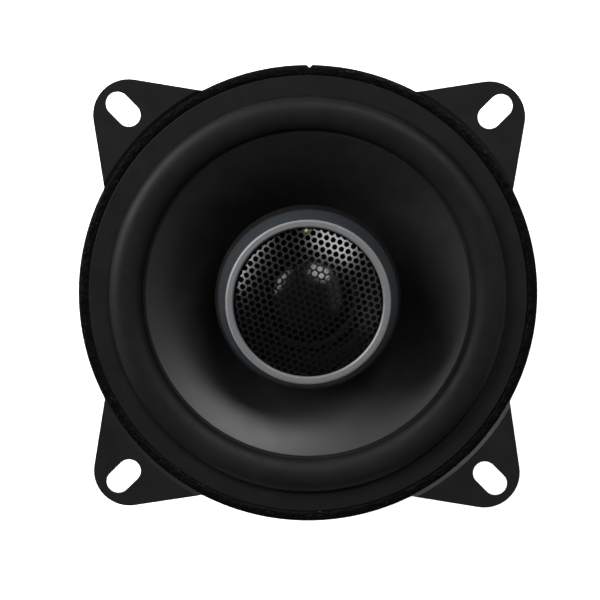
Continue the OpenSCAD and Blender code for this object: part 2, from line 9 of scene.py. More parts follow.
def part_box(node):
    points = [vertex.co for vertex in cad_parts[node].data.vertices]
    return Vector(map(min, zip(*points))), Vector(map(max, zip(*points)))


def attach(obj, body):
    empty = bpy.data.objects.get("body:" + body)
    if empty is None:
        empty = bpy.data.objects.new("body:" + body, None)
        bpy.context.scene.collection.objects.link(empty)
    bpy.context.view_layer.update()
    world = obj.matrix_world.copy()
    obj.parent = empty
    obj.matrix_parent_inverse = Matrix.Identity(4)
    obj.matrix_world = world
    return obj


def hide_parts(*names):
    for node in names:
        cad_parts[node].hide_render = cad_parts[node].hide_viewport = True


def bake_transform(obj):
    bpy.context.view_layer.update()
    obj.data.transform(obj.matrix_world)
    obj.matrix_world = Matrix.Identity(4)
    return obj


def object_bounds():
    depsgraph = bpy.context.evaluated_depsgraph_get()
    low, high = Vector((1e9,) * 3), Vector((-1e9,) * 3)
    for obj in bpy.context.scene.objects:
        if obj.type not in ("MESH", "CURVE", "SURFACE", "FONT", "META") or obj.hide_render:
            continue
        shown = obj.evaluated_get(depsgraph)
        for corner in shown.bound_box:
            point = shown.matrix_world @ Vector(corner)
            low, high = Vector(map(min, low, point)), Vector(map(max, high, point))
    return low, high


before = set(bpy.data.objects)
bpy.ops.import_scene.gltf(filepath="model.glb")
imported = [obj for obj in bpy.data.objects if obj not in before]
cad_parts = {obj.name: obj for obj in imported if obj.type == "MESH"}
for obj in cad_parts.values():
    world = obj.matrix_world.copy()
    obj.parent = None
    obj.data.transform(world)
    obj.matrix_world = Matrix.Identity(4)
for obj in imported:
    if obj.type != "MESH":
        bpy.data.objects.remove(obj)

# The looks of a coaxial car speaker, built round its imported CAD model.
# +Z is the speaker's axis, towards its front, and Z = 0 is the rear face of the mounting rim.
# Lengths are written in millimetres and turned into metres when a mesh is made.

cad_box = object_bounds()

MM = 0.001
FULL_TURN = 2 * math.pi
FINEST = 540          # steps round a turned piece that fills the front view
FINE = 360            # steps round another large one
COARSE = 128          # steps round a small one
SHARP = math.radians(32)

# Sizes of the CAD model, read from its nodes where one gives the value directly


def radius_of(node):
    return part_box(node)[1].x / MM


def top_of(node):
    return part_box(node)[1].z / MM


def bottom_of(node):
    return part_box(node)[0].z / MM


SHEET_T = 0.9
RIM_R = 51.6
EAR_STEP = 0.8
FLANGE_IN = 44.8
FLANGE_OUT = radius_of("surround")
RUBBER_T = 0.5
FLANGE_Z = SHEET_T + RUBBER_T
ROLL_R = 3.9
ROLL_MID = FLANGE_IN - ROLL_R
ROLL_IN = ROLL_MID - ROLL_R
CROWN_R = 41.3        # the roll's crown, a little outside its middle
SEAM = 0.03           # gap between two pieces that touch
CONE_R = radius_of("cone")
CONE_T = 0.5
CONE_TOP_Z = top_of("cone")
CONE_SLOPE = math.radians(20)
CONE_CURVE_R = 66.6
CONE_CENTRE = (CONE_R + CONE_CURVE_R * math.sin(CONE_SLOPE),
               CONE_TOP_Z - CONE_CURVE_R * math.cos(CONE_SLOPE))
NECK_R = 13.0
TERMINAL_ANGLE = math.radians(225)


# ---------------------------------------------------------------- materials


class Finish:
    """A Principled material, built up one effect at a time. Colours are linear."""

    def __init__(self, name, colour, roughness, **sockets):
        self.material = bpy.data.materials.new(name)
        self.material.use_nodes = True
        self.tree = self.material.node_tree
        self.shader = self.tree.nodes["Principled BSDF"]
        self.colour = (*colour, 1.0)
        self.shader.inputs["Base Color"].default_value = self.colour
        self.shader.inputs["Roughness"].default_value = roughness
        for socket, value in sockets.items():
            self.shader.inputs[socket.replace("_", " ")].default_value = value
        self.colour_out = None
        self.normal_out = None
        self.coords = self.add("ShaderNodeTexCoord").outputs["Object"]

    def add(self, kind, **settings):
        node = self.tree.nodes.new(kind)
        for key, value in settings.items():
            setattr(node, key, value)
        return node

    def join(self, source, target):
        self.tree.links.new(source, target)

    def maths(self, operation, a, b=None):
        node = self.add("ShaderNodeMath", operation=operation)
        for socket, value in zip(node.inputs, (a, b)):
            if value is None:
                continue
            if isinstance(value, (int, float)):
                socket.default_value = value
            else:
                self.join(value, socket)
        return node.outputs[0]

    def around(self):
        """Coordinates that run round the speaker's axis: (arc, radius, height)."""
        arc_per_radian = 10 * MM
        split = self.add("ShaderNodeSeparateXYZ")
        self.join(self.coords, split.inputs[0])
        x, y, z = split.outputs
        angle = self.maths("ARCTAN2", y, x)
        radius = self.maths("SQRT", self.maths("ADD", self.maths("MULTIPLY", x, x),
                                               self.maths("MULTIPLY", y, y)))
        out = self.add("ShaderNodeCombineXYZ")
        self.join(self.maths("MULTIPLY", angle, arc_per_radian), out.inputs[0])
        self.join(radius, out.inputs[1])
        self.join(z, out.inputs[2])
        return out.outputs[0]

    def stretched(self, coords, factors):
        node = self.add("ShaderNodeMapping")
        node.inputs["Scale"].default_value = factors
        self.join(coords, node.inputs["Vector"])
        return node.outputs[0]

    def noise(self, size_mm, detail=3.0, coords=None):
        """Cloudy noise whose lumps are about size_mm across."""
        node = self.add("ShaderNodeTexNoise")
        node.inputs["Scale"].default_value = 1 / (size_mm * MM)
        node.inputs["Detail"].default_value = detail
        node.inputs["Roughness"].default_value = 0.55
        self.join(coords or self.coords, node.inputs["Vector"])
        return node.outputs["Fac"]

    def cells(self, size_mm):
        """Distance from the nearest of the scattered points, which are about size_mm apart."""
        node = self.add("ShaderNodeTexVoronoi")
        node.inputs["Scale"].default_value = 1 / (size_mm * MM)
        self.join(self.coords, node.inputs["Vector"])
        return node.outputs["Distance"]

    def waves(self, pitch_mm, direction):
        """Even ridges, pitch_mm apart, across one axis."""
        node = self.add("ShaderNodeTexWave", bands_direction=direction)
        node.inputs["Scale"].default_value = math.pi / (10 * pitch_mm * MM)
        self.join(self.coords, node.inputs["Vector"])
        return node.outputs["Fac"]

    def between(self, mask, low, high, to_low=0.0, to_high=1.0):
        """mask, stretched so that low..high becomes to_low..to_high."""
        node = self.add("ShaderNodeMapRange", clamp=True)
        self.join(mask, node.inputs["Value"])
        node.inputs["From Min"].default_value = low
        node.inputs["From Max"].default_value = high
        node.inputs["To Min"].default_value = to_low
        node.inputs["To Max"].default_value = to_high
        return node.outputs["Result"]

    def tint(self, mask, colour):
        """Turns the surface towards another colour where mask is high."""
        mix = self.add("ShaderNodeMix", data_type="RGBA")
        self.join(mask, mix.inputs["Factor"])
        if self.colour_out:
            self.join(self.colour_out, mix.inputs["A"])
        else:
            mix.inputs["A"].default_value = self.colour
        mix.inputs["B"].default_value = (*colour, 1.0)
        self.colour_out = mix.outputs["Result"]
        self.join(self.colour_out, self.shader.inputs["Base Color"])
        return self

    def gloss(self, mask, low, high):
        """Roughness from low, where mask is 0, to high, where it is 1."""
        self.join(self.between(mask, 0.3, 0.7, low, high), self.shader.inputs["Roughness"])
        return self

    def relief(self, mask, height_mm):
        """Raises the surface by up to height_mm where mask is high."""
        bump = self.add("ShaderNodeBump")
        bump.inputs["Distance"].default_value = height_mm * MM
        self.join(mask, bump.inputs["Height"])
        if self.normal_out:
            self.join(self.normal_out, bump.inputs["Normal"])
        self.normal_out = bump.outputs["Normal"]
        self.join(self.normal_out, self.shader.inputs["Normal"])
        return self


def black_paint():
    f = Finish("black_paint", (0.0042, 0.0044, 0.0047), 0.48, Specular_IOR_Level=0.14)
    peel = f.noise(1.3, 2)
    f.tint(f.between(f.noise(14, 3), 0.4, 0.7), (0.006, 0.0062, 0.0065))
    f.gloss(f.noise(6, 4), 0.44, 0.54)
    return f.relief(peel, 0.010).relief(f.noise(0.22, 2), 0.002).material


def rubber():
    f = Finish("surround_rubber", (0.0037, 0.0039, 0.004), 0.53, Specular_IOR_Level=0.115)
    dust = f.between(f.cells(2.3), 0.05, 0.02)
    f.tint(f.between(f.noise(9, 4), 0.42, 0.66), (0.0048, 0.005, 0.0051))
    f.tint(dust, (0.02, 0.021, 0.018))
    f.gloss(f.noise(3.5, 4), 0.48, 0.58)
    rings = f.noise(0.5, 2, f.stretched(f.around(), (6, 1, 1)))
    return f.relief(f.noise(0.16, 3), 0.006).relief(rings, 0.006).material


def glossy_adhesive():
    f = Finish("rim_adhesive", (0.0009, 0.0009, 0.001), 0.5, Specular_IOR_Level=0.05)
    f.tint(f.between(f.noise(0.3, 3), 0.68, 0.74), (0.08, 0.08, 0.075))
    f.gloss(f.noise(1.6, 3), 0.35, 0.6)
    return f.relief(f.noise(0.25, 2), 0.012).material


def cone_plastic():
    f = Finish("cone_plastic", (0.0006, 0.0007, 0.0008), 0.43)
    f.tint(f.between(f.noise(12, 4), 0.4, 0.7), (0.001, 0.0011, 0.0012))
    turned = f.noise(0.35, 2, f.stretched(f.around(), (3, 1, 1)))
    f.gloss(f.noise(5, 3), 0.41, 0.46)
    return f.relief(turned, 0.004).relief(f.noise(0.12, 2), 0.0025).material


def bezel_face():
    f = Finish("bezel_face", (0.13, 0.132, 0.135), 0.42, Metallic=0.25)
    f.tint(f.between(f.noise(0.12, 2), 0.42, 0.58), (0.1, 0.102, 0.105))
    return f.gloss(f.noise(0.3, 3), 0.36, 0.48).relief(f.noise(0.1, 2), 0.002).material


def bezel_flare_painted_shade():
    # The flare wears a darker, bluer copy of the bezel face's finish: painted shade and painted
    # reflection on the sloping flare.
    f = Finish("bezel_flare_painted_shade", (0.022, 0.025, 0.029), 0.36, Metallic=0.3)
    f.tint(f.between(f.noise(0.12, 2), 0.42, 0.58), (0.018, 0.021, 0.024))
    return f.gloss(f.noise(0.4, 3), 0.32, 0.42).relief(f.noise(0.1, 2), 0.0015).material


def pod_plastic():
    f = Finish("pod_plastic", (0.0018, 0.0018, 0.0019), 0.5, Specular_IOR_Level=0.2)
    f.tint(f.between(f.noise(5, 3), 0.45, 0.7), (0.0026, 0.0026, 0.0028))
    return f.gloss(f.noise(2, 3), 0.45, 0.56).relief(f.cells(0.2), 0.012).material


def mesh_paint():
    f = Finish("mesh_paint", (0.002, 0.002, 0.0022), 0.28, Specular_IOR_Level=0.4)
    f.tint(f.between(f.noise(3, 3), 0.45, 0.7), (0.003, 0.003, 0.0032))
    return f.gloss(f.noise(0.8, 3), 0.18, 0.28).relief(f.noise(0.25, 2), 0.008).material


def faceplate_plastic():
    f = Finish("faceplate_plastic", (0.001, 0.001, 0.0011), 0.7, Specular_IOR_Level=0.08)
    f.tint(f.noise(4, 2), (0.0016, 0.0016, 0.0017))
    return f.relief(f.noise(0.2, 2), 0.006).material


def woven(name, colour, thread, pitch_mm, roughness, depth_mm, **sockets):
    """A plain weave: two sets of ridges at right angles, over and under each other."""
    f = Finish(name, colour, roughness, **sockets)
    warp = f.waves(pitch_mm, "X")
    weft = f.waves(pitch_mm, "Y")
    cloth = f.maths("MAXIMUM", warp, weft)
    f.tint(f.between(cloth, 0.5, 1.0), thread)
    return f.relief(cloth, depth_mm).relief(f.noise(0.1, 2), depth_mm / 4).material


def spider_cloth():
    return woven("spider_cloth", (0.22, 0.12, 0.035), (0.42, 0.26, 0.09), 0.55, 0.75, 0.07,
                 Sheen_Weight=0.15)


def dome_cloth():
    return woven("dome_cloth", (0.0015, 0.0016, 0.0018), (0.004, 0.0042, 0.0045), 0.22, 0.16, 0.003)


def film_cloth():
    return woven("tweeter_film", (0.0015, 0.0015, 0.0017), (0.003, 0.003, 0.0033), 0.22, 0.65, 0.01,
                 Specular_IOR_Level=0.08)


def zinc(name, colour, roughness, axis_turned=False):
    """Bright zinc plate, with faint turned rings where the piece was cut on a lathe."""
    f = Finish(name, colour, roughness, Metallic=1.0)
    dull = tuple(0.85 * c for c in colour)
    f.tint(f.between(f.noise(0.9, 5), 0.45, 0.75), dull)
    f.gloss(f.noise(1.6, 4), roughness - 0.04, roughness + 0.1)
    if axis_turned:
        f.relief(f.noise(0.14, 2, f.stretched(f.around(), (2, 1, 1))), 0.006)
    return f.relief(f.noise(0.3, 3), 0.004).material


def ferrite():
    f = Finish("ferrite", (0.035, 0.035, 0.037), 0.5, Metallic=0.15)
    f.tint(f.between(f.noise(1.2, 5), 0.5, 0.72), (0.07, 0.07, 0.072))
    f.tint(f.between(f.cells(3.0), 0.1, 0.03), (0.015, 0.015, 0.016))
    grind = f.noise(0.5, 3, f.stretched(f.coords, (0.25, 6, 1)))
    f.gloss(f.noise(1.5, 4), 0.4, 0.62)
    return f.relief(grind, 0.012).relief(f.noise(0.35, 4), 0.02).material


def copper_winding():
    f = Finish("copper_winding", (0.55, 0.2, 0.07), 0.3, Metallic=1.0, Coat_Weight=0.4)
    f.tint(f.between(f.noise(1.5, 3), 0.45, 0.7), (0.4, 0.13, 0.045))
    return f.relief(f.noise(0.1, 2), 0.002).material


def kraft_film():
    f = Finish("former_film", (0.4, 0.25, 0.09), 0.4)
    f.tint(f.between(f.noise(1.0, 5), 0.45, 0.7), (0.3, 0.17, 0.055))
    return f.relief(f.noise(0.3, 3), 0.006).material


def amber():
    f = Finish("amber_adhesive", (0.2, 0.1, 0.02), 0.18, Coat_Weight=0.3)
    f.tint(f.between(f.noise(2, 3), 0.45, 0.7), (0.12, 0.055, 0.01))
    return f.relief(f.noise(1.0, 3), 0.08).material


def hot_melt():
    f = Finish("hot_melt", (0.5, 0.44, 0.3), 0.35, Subsurface_Weight=0.2)
    f.tint(f.between(f.noise(1.5, 3), 0.45, 0.7), (0.4, 0.34, 0.2))
    return f.relief(f.noise(0.9, 2), 0.12).material


def phenolic():
    f = Finish("phenolic_board", (0.14, 0.06, 0.022), 0.42)
    fibres = f.noise(0.6, 4, f.stretched(f.coords, (1, 1, 5)))
    f.tint(f.between(fibres, 0.45, 0.65), (0.2, 0.095, 0.035))
    f.gloss(f.noise(2, 3), 0.36, 0.5)
    return f.relief(fibres, 0.01).material


def tinned_brass():
    f = Finish("tinned_brass", (0.62, 0.55, 0.38), 0.28, Metallic=1.0)
    f.tint(f.between(f.noise(2.5, 4), 0.42, 0.62), (0.6, 0.6, 0.58))
    f.gloss(f.noise(1.5, 4), 0.2, 0.4)
    drawn = f.noise(0.15, 2, f.stretched(f.coords, (1, 1, 0.06)))
    return f.relief(drawn, 0.004).material


def solder():
    f = Finish("solder", (0.6, 0.6, 0.6), 0.24, Metallic=1.0)
    f.tint(f.between(f.noise(0.6, 3), 0.5, 0.7), (0.42, 0.42, 0.42))
    return f.relief(f.noise(0.5, 2), 0.04).material


def sleeve_plastic():
    f = Finish("capacitor_sleeve", (0.012, 0.035, 0.13), 0.22, Coat_Weight=0.2)
    f.tint(f.between(f.noise(3, 3), 0.45, 0.7), (0.009, 0.028, 0.105))
    return f.relief(f.noise(1.0, 2), 0.02).material


def capacitor_end():
    f = Finish("capacitor_end", (0.55, 0.56, 0.57), 0.3, Metallic=1.0)
    f.tint(f.between(f.noise(1, 3), 0.5, 0.7), (0.42, 0.43, 0.44))
    return f.relief(f.noise(0.2, 2), 0.004).material


def bung_rubber():
    f = Finish("bung_rubber", (0.012, 0.012, 0.013), 0.7)
    f.tint(f.noise(1, 3), (0.02, 0.02, 0.02))
    return f.relief(f.noise(0.2, 2), 0.01).material


def insulation(name, colour):
    f = Finish(name, colour, 0.38, Coat_Weight=0.1)
    f.tint(f.between(f.noise(2.5, 3), 0.45, 0.7), tuple(0.8 * c for c in colour))
    return f.relief(f.noise(0.6, 2), 0.012).material


def tinsel_braid():
    f = Finish("tinsel_braid", (0.5, 0.27, 0.12), 0.45, Metallic=0.75)
    f.tint(f.between(f.noise(0.25, 2), 0.45, 0.6), (0.28, 0.14, 0.07))
    return f.relief(f.noise(0.12, 2), 0.02).material


def grille_dab_resin():
    f = Finish("grille_dab_resin", (0.16, 0.17, 0.08), 0.35)
    f.tint(f.noise(0.5, 2), (0.1, 0.105, 0.05))
    return f.relief(f.noise(0.3, 2), 0.03).material


def studio_floor():
    f = Finish("studio_floor", (0.86, 0.86, 0.86), 0.8)
    f.tint(f.between(f.noise(60, 3), 0.4, 0.7), (0.84, 0.84, 0.845))
    f.shader.inputs["Emission Color"].default_value = (1, 1, 1, 1)
    f.shader.inputs["Emission Strength"].default_value = 0.7
    return f.material


# ---------------------------------------------------------------- mesh helpers


def arc(centre, radius, first, last, steps):
    """Points on an arc in the (radius, height) plane. Angles in degrees."""
    points = []
    for i in range(steps + 1):
        a = math.radians(first + (last - first) * i / steps)
        points.append((centre[0] + radius * math.cos(a), centre[1] + radius * math.sin(a)))
    return points


def rounded(corners, default=0.15, steps=4):
    """A closed outline with its corners rounded. A corner is (r, z) or (r, z, its own radius)."""
    points = []
    count = len(corners)
    for i, corner in enumerate(corners):
        here = Vector(corner[:2])
        size = corner[2] if len(corner) > 2 else default
        before = Vector(corners[i - 1][:2]) - here
        after = Vector(corners[(i + 1) % count][:2]) - here
        turn = before.angle(after)
        if size <= 0 or turn > math.radians(176):
            points.append(tuple(here))
            continue
        reach = min(size / math.tan(turn / 2), 0.45 * before.length, 0.45 * after.length)
        size = reach * math.tan(turn / 2)
        middle = here + (before.normalized() + after.normalized()).normalized() * (
            size / math.sin(turn / 2))
        a, b = here + before.normalized() * reach, here + after.normalized() * reach
        for k in range(steps + 1):
            p = a.lerp(b, k / steps) - middle
            points.append(tuple(middle + p.normalized() * size))
    return points


def new_object(name, mesh):
    obj = bpy.data.objects.new(name, mesh)
    bpy.context.scene.collection.objects.link(obj)
    return obj


def soften(mesh, angle=SHARP):
    """Smooth shading, with the edges sharper than angle left sharp, and normals facing out."""
    bm = bmesh.new()
    bm.from_mesh(mesh)
    bmesh.ops.recalc_face_normals(bm, faces=bm.faces)
    for face in bm.faces:
        face.smooth = True
    for edge in bm.edges:
        edge.smooth = not edge.is_manifold or edge.calc_face_angle(0) < angle
    bm.to_mesh(mesh)
    bm.free()


def weld(mesh, distance):
    """Joins points that lie together, such as those on the axis."""
    bm = bmesh.new()
    bm.from_mesh(mesh)
    bmesh.ops.remove_doubles(bm, verts=bm.verts, dist=distance)
    bmesh.ops.dissolve_degenerate(bm, edges=bm.edges, dist=distance)
    bm.to_mesh(mesh)
    bm.free()


def lathe(name, outline, materials, steps=FINE, wobble=None, material_at=None):
    """A closed outline in (radius, height), turned about the axis. wobble(r, z, angle) may move it."""
    verts, faces, slots = [], [], []
    count = len(outline)
    for j in range(steps):
        a = FULL_TURN * j / steps
        for r, z in outline:
            if wobble:
                r, z = wobble(r, z, a)
            verts.append((r * math.cos(a) * MM, r * math.sin(a) * MM, z * MM))
    for j in range(steps):
        for i in range(count):
            k = (i + 1) % count
            n = (j + 1) % steps
            faces.append((j * count + i, j * count + k, n * count + k, n * count + i))
            if material_at:
                slots.append(material_at(outline[i], outline[k]))
    mesh = bpy.data.meshes.new(name)
    mesh.from_pydata(verts, [], faces)
    if material_at:
        mesh.polygons.foreach_set("material_index", slots)
    for m in materials if isinstance(materials, (list, tuple)) else [materials]:
        mesh.materials.append(m)
    weld(mesh, distance=1e-7)
    soften(mesh)
    return new_object(name, mesh)


def curve_through(points, steps):
    """A smooth curve through given points."""
    path = []
    last = len(points) - 1
    for i in range(last):
        a, b = Vector(points[max(i - 1, 0)]), Vector(points[i])
        c, d = Vector(points[i + 1]), Vector(points[min(i + 2, last)])
        for s in range(steps):
            t = s / steps
            path.append(0.5 * (2 * b + (c - a) * t + (2 * a - 5 * b + 4 * c - d) * t ** 2
                               + (3 * b - a - 3 * c + d) * t ** 3))
    path.append(Vector(points[-1]))
    return path


def tube(name, path, radius, material, sides=14, profile=None, across=(0, 1, 0)):
    """A closed tube along path, in millimetres. profile(angle, distance) scales the radius."""
    verts, faces = [], []
    last = len(path) - 1
    distance = 0.0
    for i, p in enumerate(path):
        if i:
            distance += (p - path[i - 1]).length
        along = (path[min(i + 1, last)] - path[max(i - 1, 0)]).normalized()
        side = along.cross(Vector(across)).normalized()
        up = side.cross(along)
        for k in range(sides):
            a = FULL_TURN * k / sides
            r = radius * (profile(a, distance) if profile else 1)
            verts.append((p + r * (math.cos(a) * side + math.sin(a) * up)) * MM)
    for i in range(last):
        for k in range(sides):
            n = (k + 1) % sides
            faces.append((i * sides + k, i * sides + n, (i + 1) * sides + n, (i + 1) * sides + k))
    faces.append(tuple(range(sides)))
    faces.append(tuple(last * sides + k for k in range(sides)))
    mesh = bpy.data.meshes.new(name)
    mesh.from_pydata(verts, [], faces)
    mesh.materials.append(material)
    soften(mesh, math.radians(50))
    return new_object(name, mesh)


def bevelled(node, name, material, width_mm, slot, segments=2):
    """A copy of a fixed CAD node with slightly rounded edges, which stands for it."""
    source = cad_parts[node]
    mesh = source.data.copy()
    mesh.name = name
    mesh.materials.clear()
    mesh.materials.append(material)
    bm = bmesh.new()
    bm.from_mesh(mesh)
    bmesh.ops.remove_doubles(bm, verts=bm.verts, dist=2e-6)
    bmesh.ops.dissolve_limit(bm, angle_limit=math.radians(0.6), verts=bm.verts, edges=bm.edges)
    edges = [e for e in bm.edges if e.is_manifold and e.calc_face_angle(0) > SHARP]
    bmesh.ops.bevel(bm, geom=edges, offset=width_mm * MM, offset_type="OFFSET",
                    segments=segments, profile=0.5, affect="EDGES", clamp_overlap=True)
    bmesh.ops.remove_doubles(bm, verts=bm.verts, dist=1e-6)
    bm.to_mesh(mesh)
    bm.free()
    soften(mesh)
    obj = new_object(name, mesh)
    obj.modifiers.new("even_normals", "WEIGHTED_NORMAL").keep_sharp = True
    return stands_for(obj, "frame", node, slot=slot)


def stands_for(obj, body, *nodes, slot):
    """Rides on a body in place of CAD nodes."""
    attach(obj, body)
    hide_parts(*nodes)
    return obj


def flexes(obj, moving_body, moving_r, fixed_r, *nodes, slot):
    """Bakes the object's placement into its mesh and hides the CAD nodes it stands for; it does not bend.
    moving_body, moving_r and fixed_r are not used.
    """
    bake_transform(obj)
    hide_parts(*nodes)
    return obj


def to_terminal_side(obj):
    """Turns a piece made in the terminal frame, whose X points at the terminals, into its place."""
    obj.data.transform(Matrix.Rotation(TERMINAL_ANGLE, 4, "Z"))
    return obj


# ---------------------------------------------------------------- basket and rim


def basket():
    bevelled("basket", "pressed_basket", black_paint(), 0.14, "basket_paint")


def rim_adhesive():
    """A thin ragged bead that runs over the rim's edge, but leaves the notch in the rim free."""
    inner, outer = 49.3, RIM_R + 0.02
    half = (outer - inner) / 2
    mid = (outer + inner) / 2
    low_z, mean_height, least_height = 0.35, 0.34, 0.1
    notch_at, notch_half_w, notch_depth = math.radians(45), 0.85, 0.66

    def uneven(x, z, angle):
        place = Vector((math.cos(angle), math.sin(angle), 0)) * RIM_R
        across = Vector((0, 0, 2.2 * x))
        coarse = noise.noise(place / 3.5)
        lumps = noise.noise(place / 1.1 + across)
        crumbs = noise.noise(place / 0.45 + 2.4 * across)
        height = mean_height + 0.1 * coarse + 0.09 * lumps + 0.07 * crumbs
        edge = 0.16 * noise.noise(place / 1.6 + Vector((0, 7, 3))) * (1 if x < 0 else 0.1)
        beside = abs(angle - notch_at) * RIM_R / notch_half_w
        limit = outer - notch_depth * max(1 - beside, 0)
        if z > 0:
            z = SHEET_T + max(height, least_height) * z
        elif z < -0.5:
            z = low_z
        else:
            z = SHEET_T - 0.01
        return min(mid + half * x + edge, limit), z

    # A half circle of radius 1, with a lip at x = 1 that hangs over the rim's edge
    outline = arc((0, 0), 1.0, 180, 0, 22) + [(1.0, -1), (0.95, -1), (0.95, 0), (-0.95, 0)]
    obj = lathe("ragged_rim_adhesive", outline, glossy_adhesive(), 1800, uneven)
    stands_for(obj, "frame", "rim_glue_bead", slot="rim_adhesive")


# ---------------------------------------------------------------- surround, cone and spider


def roll_face(inset, rise, steps=40):
    """One face of the half roll, from its outer crease over the crown to the cone. It leans outwards."""
    sides = ((0, steps, FLANGE_IN + 0.05 - inset, 2.2), (steps - 1, 0, ROLL_IN + inset, 2.0))
    points = []
    for first, last, foot_r, power in sides:
        step = 1 if last > first else -1
        for i in range(first, last + step, step):
            a = math.radians(90) * i / steps
            points.append((CROWN_R + (foot_r - CROWN_R) * math.cos(a) ** (2 / power),
                           FLANGE_Z + rise * math.sin(a) ** (2 / power)))
    return points


def surround():
    """From the flange's outer edge over the roll to the flange under the cone, and back below."""
    rise = 2.7
    edge_r = FLANGE_OUT + 0.55
    inner_flange_r = 34.6
    under_cone = cone_height(inner_flange_r, CONE_T) - SEAM
    lip_r, lip_z = CONE_R + 0.02, CONE_TOP_Z - SEAM
    outline = [(edge_r, SHEET_T), (edge_r, FLANGE_Z - 0.15), (edge_r - 0.15, FLANGE_Z),
               (FLANGE_IN + 0.08, FLANGE_Z)]
    outline += [(r, z) for r, z in roll_face(0, rise)[1:] if r > CROWN_R or z > lip_z + 0.05]
    outline += [
        (ROLL_IN - 0.05, lip_z), (lip_r, lip_z), (lip_r, cone_height(CONE_R, CONE_T) - SEAM),
        (inner_flange_r, under_cone), (inner_flange_r, under_cone - RUBBER_T + 0.05),
        (ROLL_IN + 0.1, SHEET_T - 0.02), (ROLL_IN + RUBBER_T, SHEET_T)
    ]
    outline += reversed(roll_face(RUBBER_T, rise - RUBBER_T)[1:-1])
    outline += [(FLANGE_IN - RUBBER_T, SHEET_T)]
    obj = lathe("rubber_surround", outline, rubber(), FINEST)
    flexes(obj, "cone", ROLL_IN, FLANGE_IN, "surround", slot="surround_rubber")


def cone_height(r, below=0.0):
    """Height of the cone's front face at r, or of a surface that lies below it."""
    return CONE_CENTRE[1] + math.sqrt((CONE_CURVE_R - below) ** 2 - (CONE_CENTRE[0] - r) ** 2)


def cone():
    steps = 60
    radii = [NECK_R + (CONE_R - NECK_R) * i / steps for i in range(steps + 1)]
    front = [(r, cone_height(r)) for r in radii]
    back = [(r, cone_height(r, CONE_T)) for r in reversed(radii)]
    obj = lathe("moulded_cone", front + back, cone_plastic(), FINEST)
    stands_for(obj, "cone", "cone", slot="cone_plastic")


def spider():
    inner, flange_in, outer = 13.05, 27.4, 32.2
    thick, waves, wave_h = 0.4, 5, 0.75
    shelf_z = -17
    mid_z = shelf_z + thick / 2
    steps = 160
    middle = []
    for i in range(steps + 1):
        u = i / steps
        swell = math.sin(math.pi * u)
        middle.append((inner + (flange_in - inner) * u,
                       mid_z + wave_h * swell * math.sin(2 * math.pi * waves * u)))
    top = [(r, z + thick / 2) for r, z in middle]
    under = [(r, z - thick / 2) for r, z in reversed(middle)]
    outline = top + [(outer, mid_z + thick / 2), (outer, mid_z - thick / 2)] + under
    obj = lathe("corrugated_spider", outline, spider_cloth())
    flexes(obj, "cone", inner, flange_in, "spider", slot="spider_cloth")


def voice_coil():
    """Turns of round wire on the former."""
    wire = 0.3
    inner = radius_of("voice_coil_former") + 0.02
    low, high = bottom_of("voice_coil"), top_of("voice_coil")
    turns = int((high - low) / wire)
    outer = []
    for i in range(turns):
        z = low + wire * (i + 0.5)
        outer += arc((radius_of("voice_coil") - wire / 2, z), wire / 2, -70, 70, 5)
    outline = [(inner, high), (inner, low)] + outer
    obj = lathe("coil_winding", outline, copper_winding(), COARSE)
    stands_for(obj, "cone", "voice_coil", slot="copper_wire")


# ---------------------------------------------------------------- motor


def motor():
    plate_finish = zinc("plate_zinc", (0.5, 0.51, 0.52), 0.34, axis_turned=True)
    magnet_r = radius_of("magnet")
    magnet_low, magnet_high = bottom_of("magnet"), top_of("magnet")
    plate_r = radius_of("top_plate")
    chipped = random.Random(7)
    chips = [(chipped.uniform(0, FULL_TURN), chipped.choice((magnet_low, magnet_high)),
              chipped.uniform(0.5, 1.3)) for _ in range(14)]

    def chip_edges(r, z, angle):
        """Small chips out of the ferrite's brittle outer edges."""
        if r > magnet_r - 1.2:
            for at, level, size in chips:
                away = math.hypot((angle - at) * magnet_r, z - level)
                if away < size and abs(z - level) < 1.2:
                    r -= 0.45 * (size - away)
        return r, z

    magnet_in, gap_r = 18.0, 13.87
    outline = [(magnet_in, magnet_high), (magnet_in, magnet_low)]
    outline += rounded([(magnet_r - 0.8, magnet_low), (magnet_r, magnet_low + 0.8),
                        (magnet_r, magnet_high - 0.8), (magnet_r - 0.8, magnet_high)], 0.2)
    ring = lathe("ferrite_ring", outline, ferrite(), 720, chip_edges)
    stands_for(ring, "frame", "magnet", slot="ferrite")

    plate_low, plate_high = bottom_of("top_plate"), top_of("top_plate") - SEAM
    top = lathe("turned_top_plate",
                rounded([(gap_r, plate_high), (gap_r, plate_low), (plate_r, plate_low, 0.1),
                         (plate_r, plate_high, 0.5)], 0.1), plate_finish)
    stands_for(top, "frame", "top_plate", slot="plated_steel")
    bevelled("yoke", "machined_yoke", plate_finish, 0.15, "plated_steel")
    fastener_zinc = zinc("fastener_zinc", (0.58, 0.585, 0.58), 0.26)
    bevelled("post_nut", "hexagon_nut", fastener_zinc, 0.2, "zinc_steel")
    bevelled("post_washer", "plain_washer", fastener_zinc, 0.08, "zinc_steel")
    rivet_zinc = zinc("rivet_zinc", (0.5, 0.5, 0.49), 0.3)
    for node, name in (("basket_rivets", "closed_basket_rivets"),
                       ("board_rivets", "closed_board_rivet"),
                       ("terminal_eyelets", "rolled_eyelets")):
        bevelled(node, name, rivet_zinc, 0.16, "rivet_steel", segments=3)


# ---------------------------------------------------------------- terminal side


def terminals():
    brass = tinned_brass()
    bevelled("terminal_board", "phenolic_terminal_board", phenolic(), 0.12, "phenolic_board")
    bevelled("terminal_positive", "wide_blade", brass, 0.1, "tinned_brass")
    bevelled("terminal_negative", "narrow_blade", brass, 0.1, "tinned_brass")


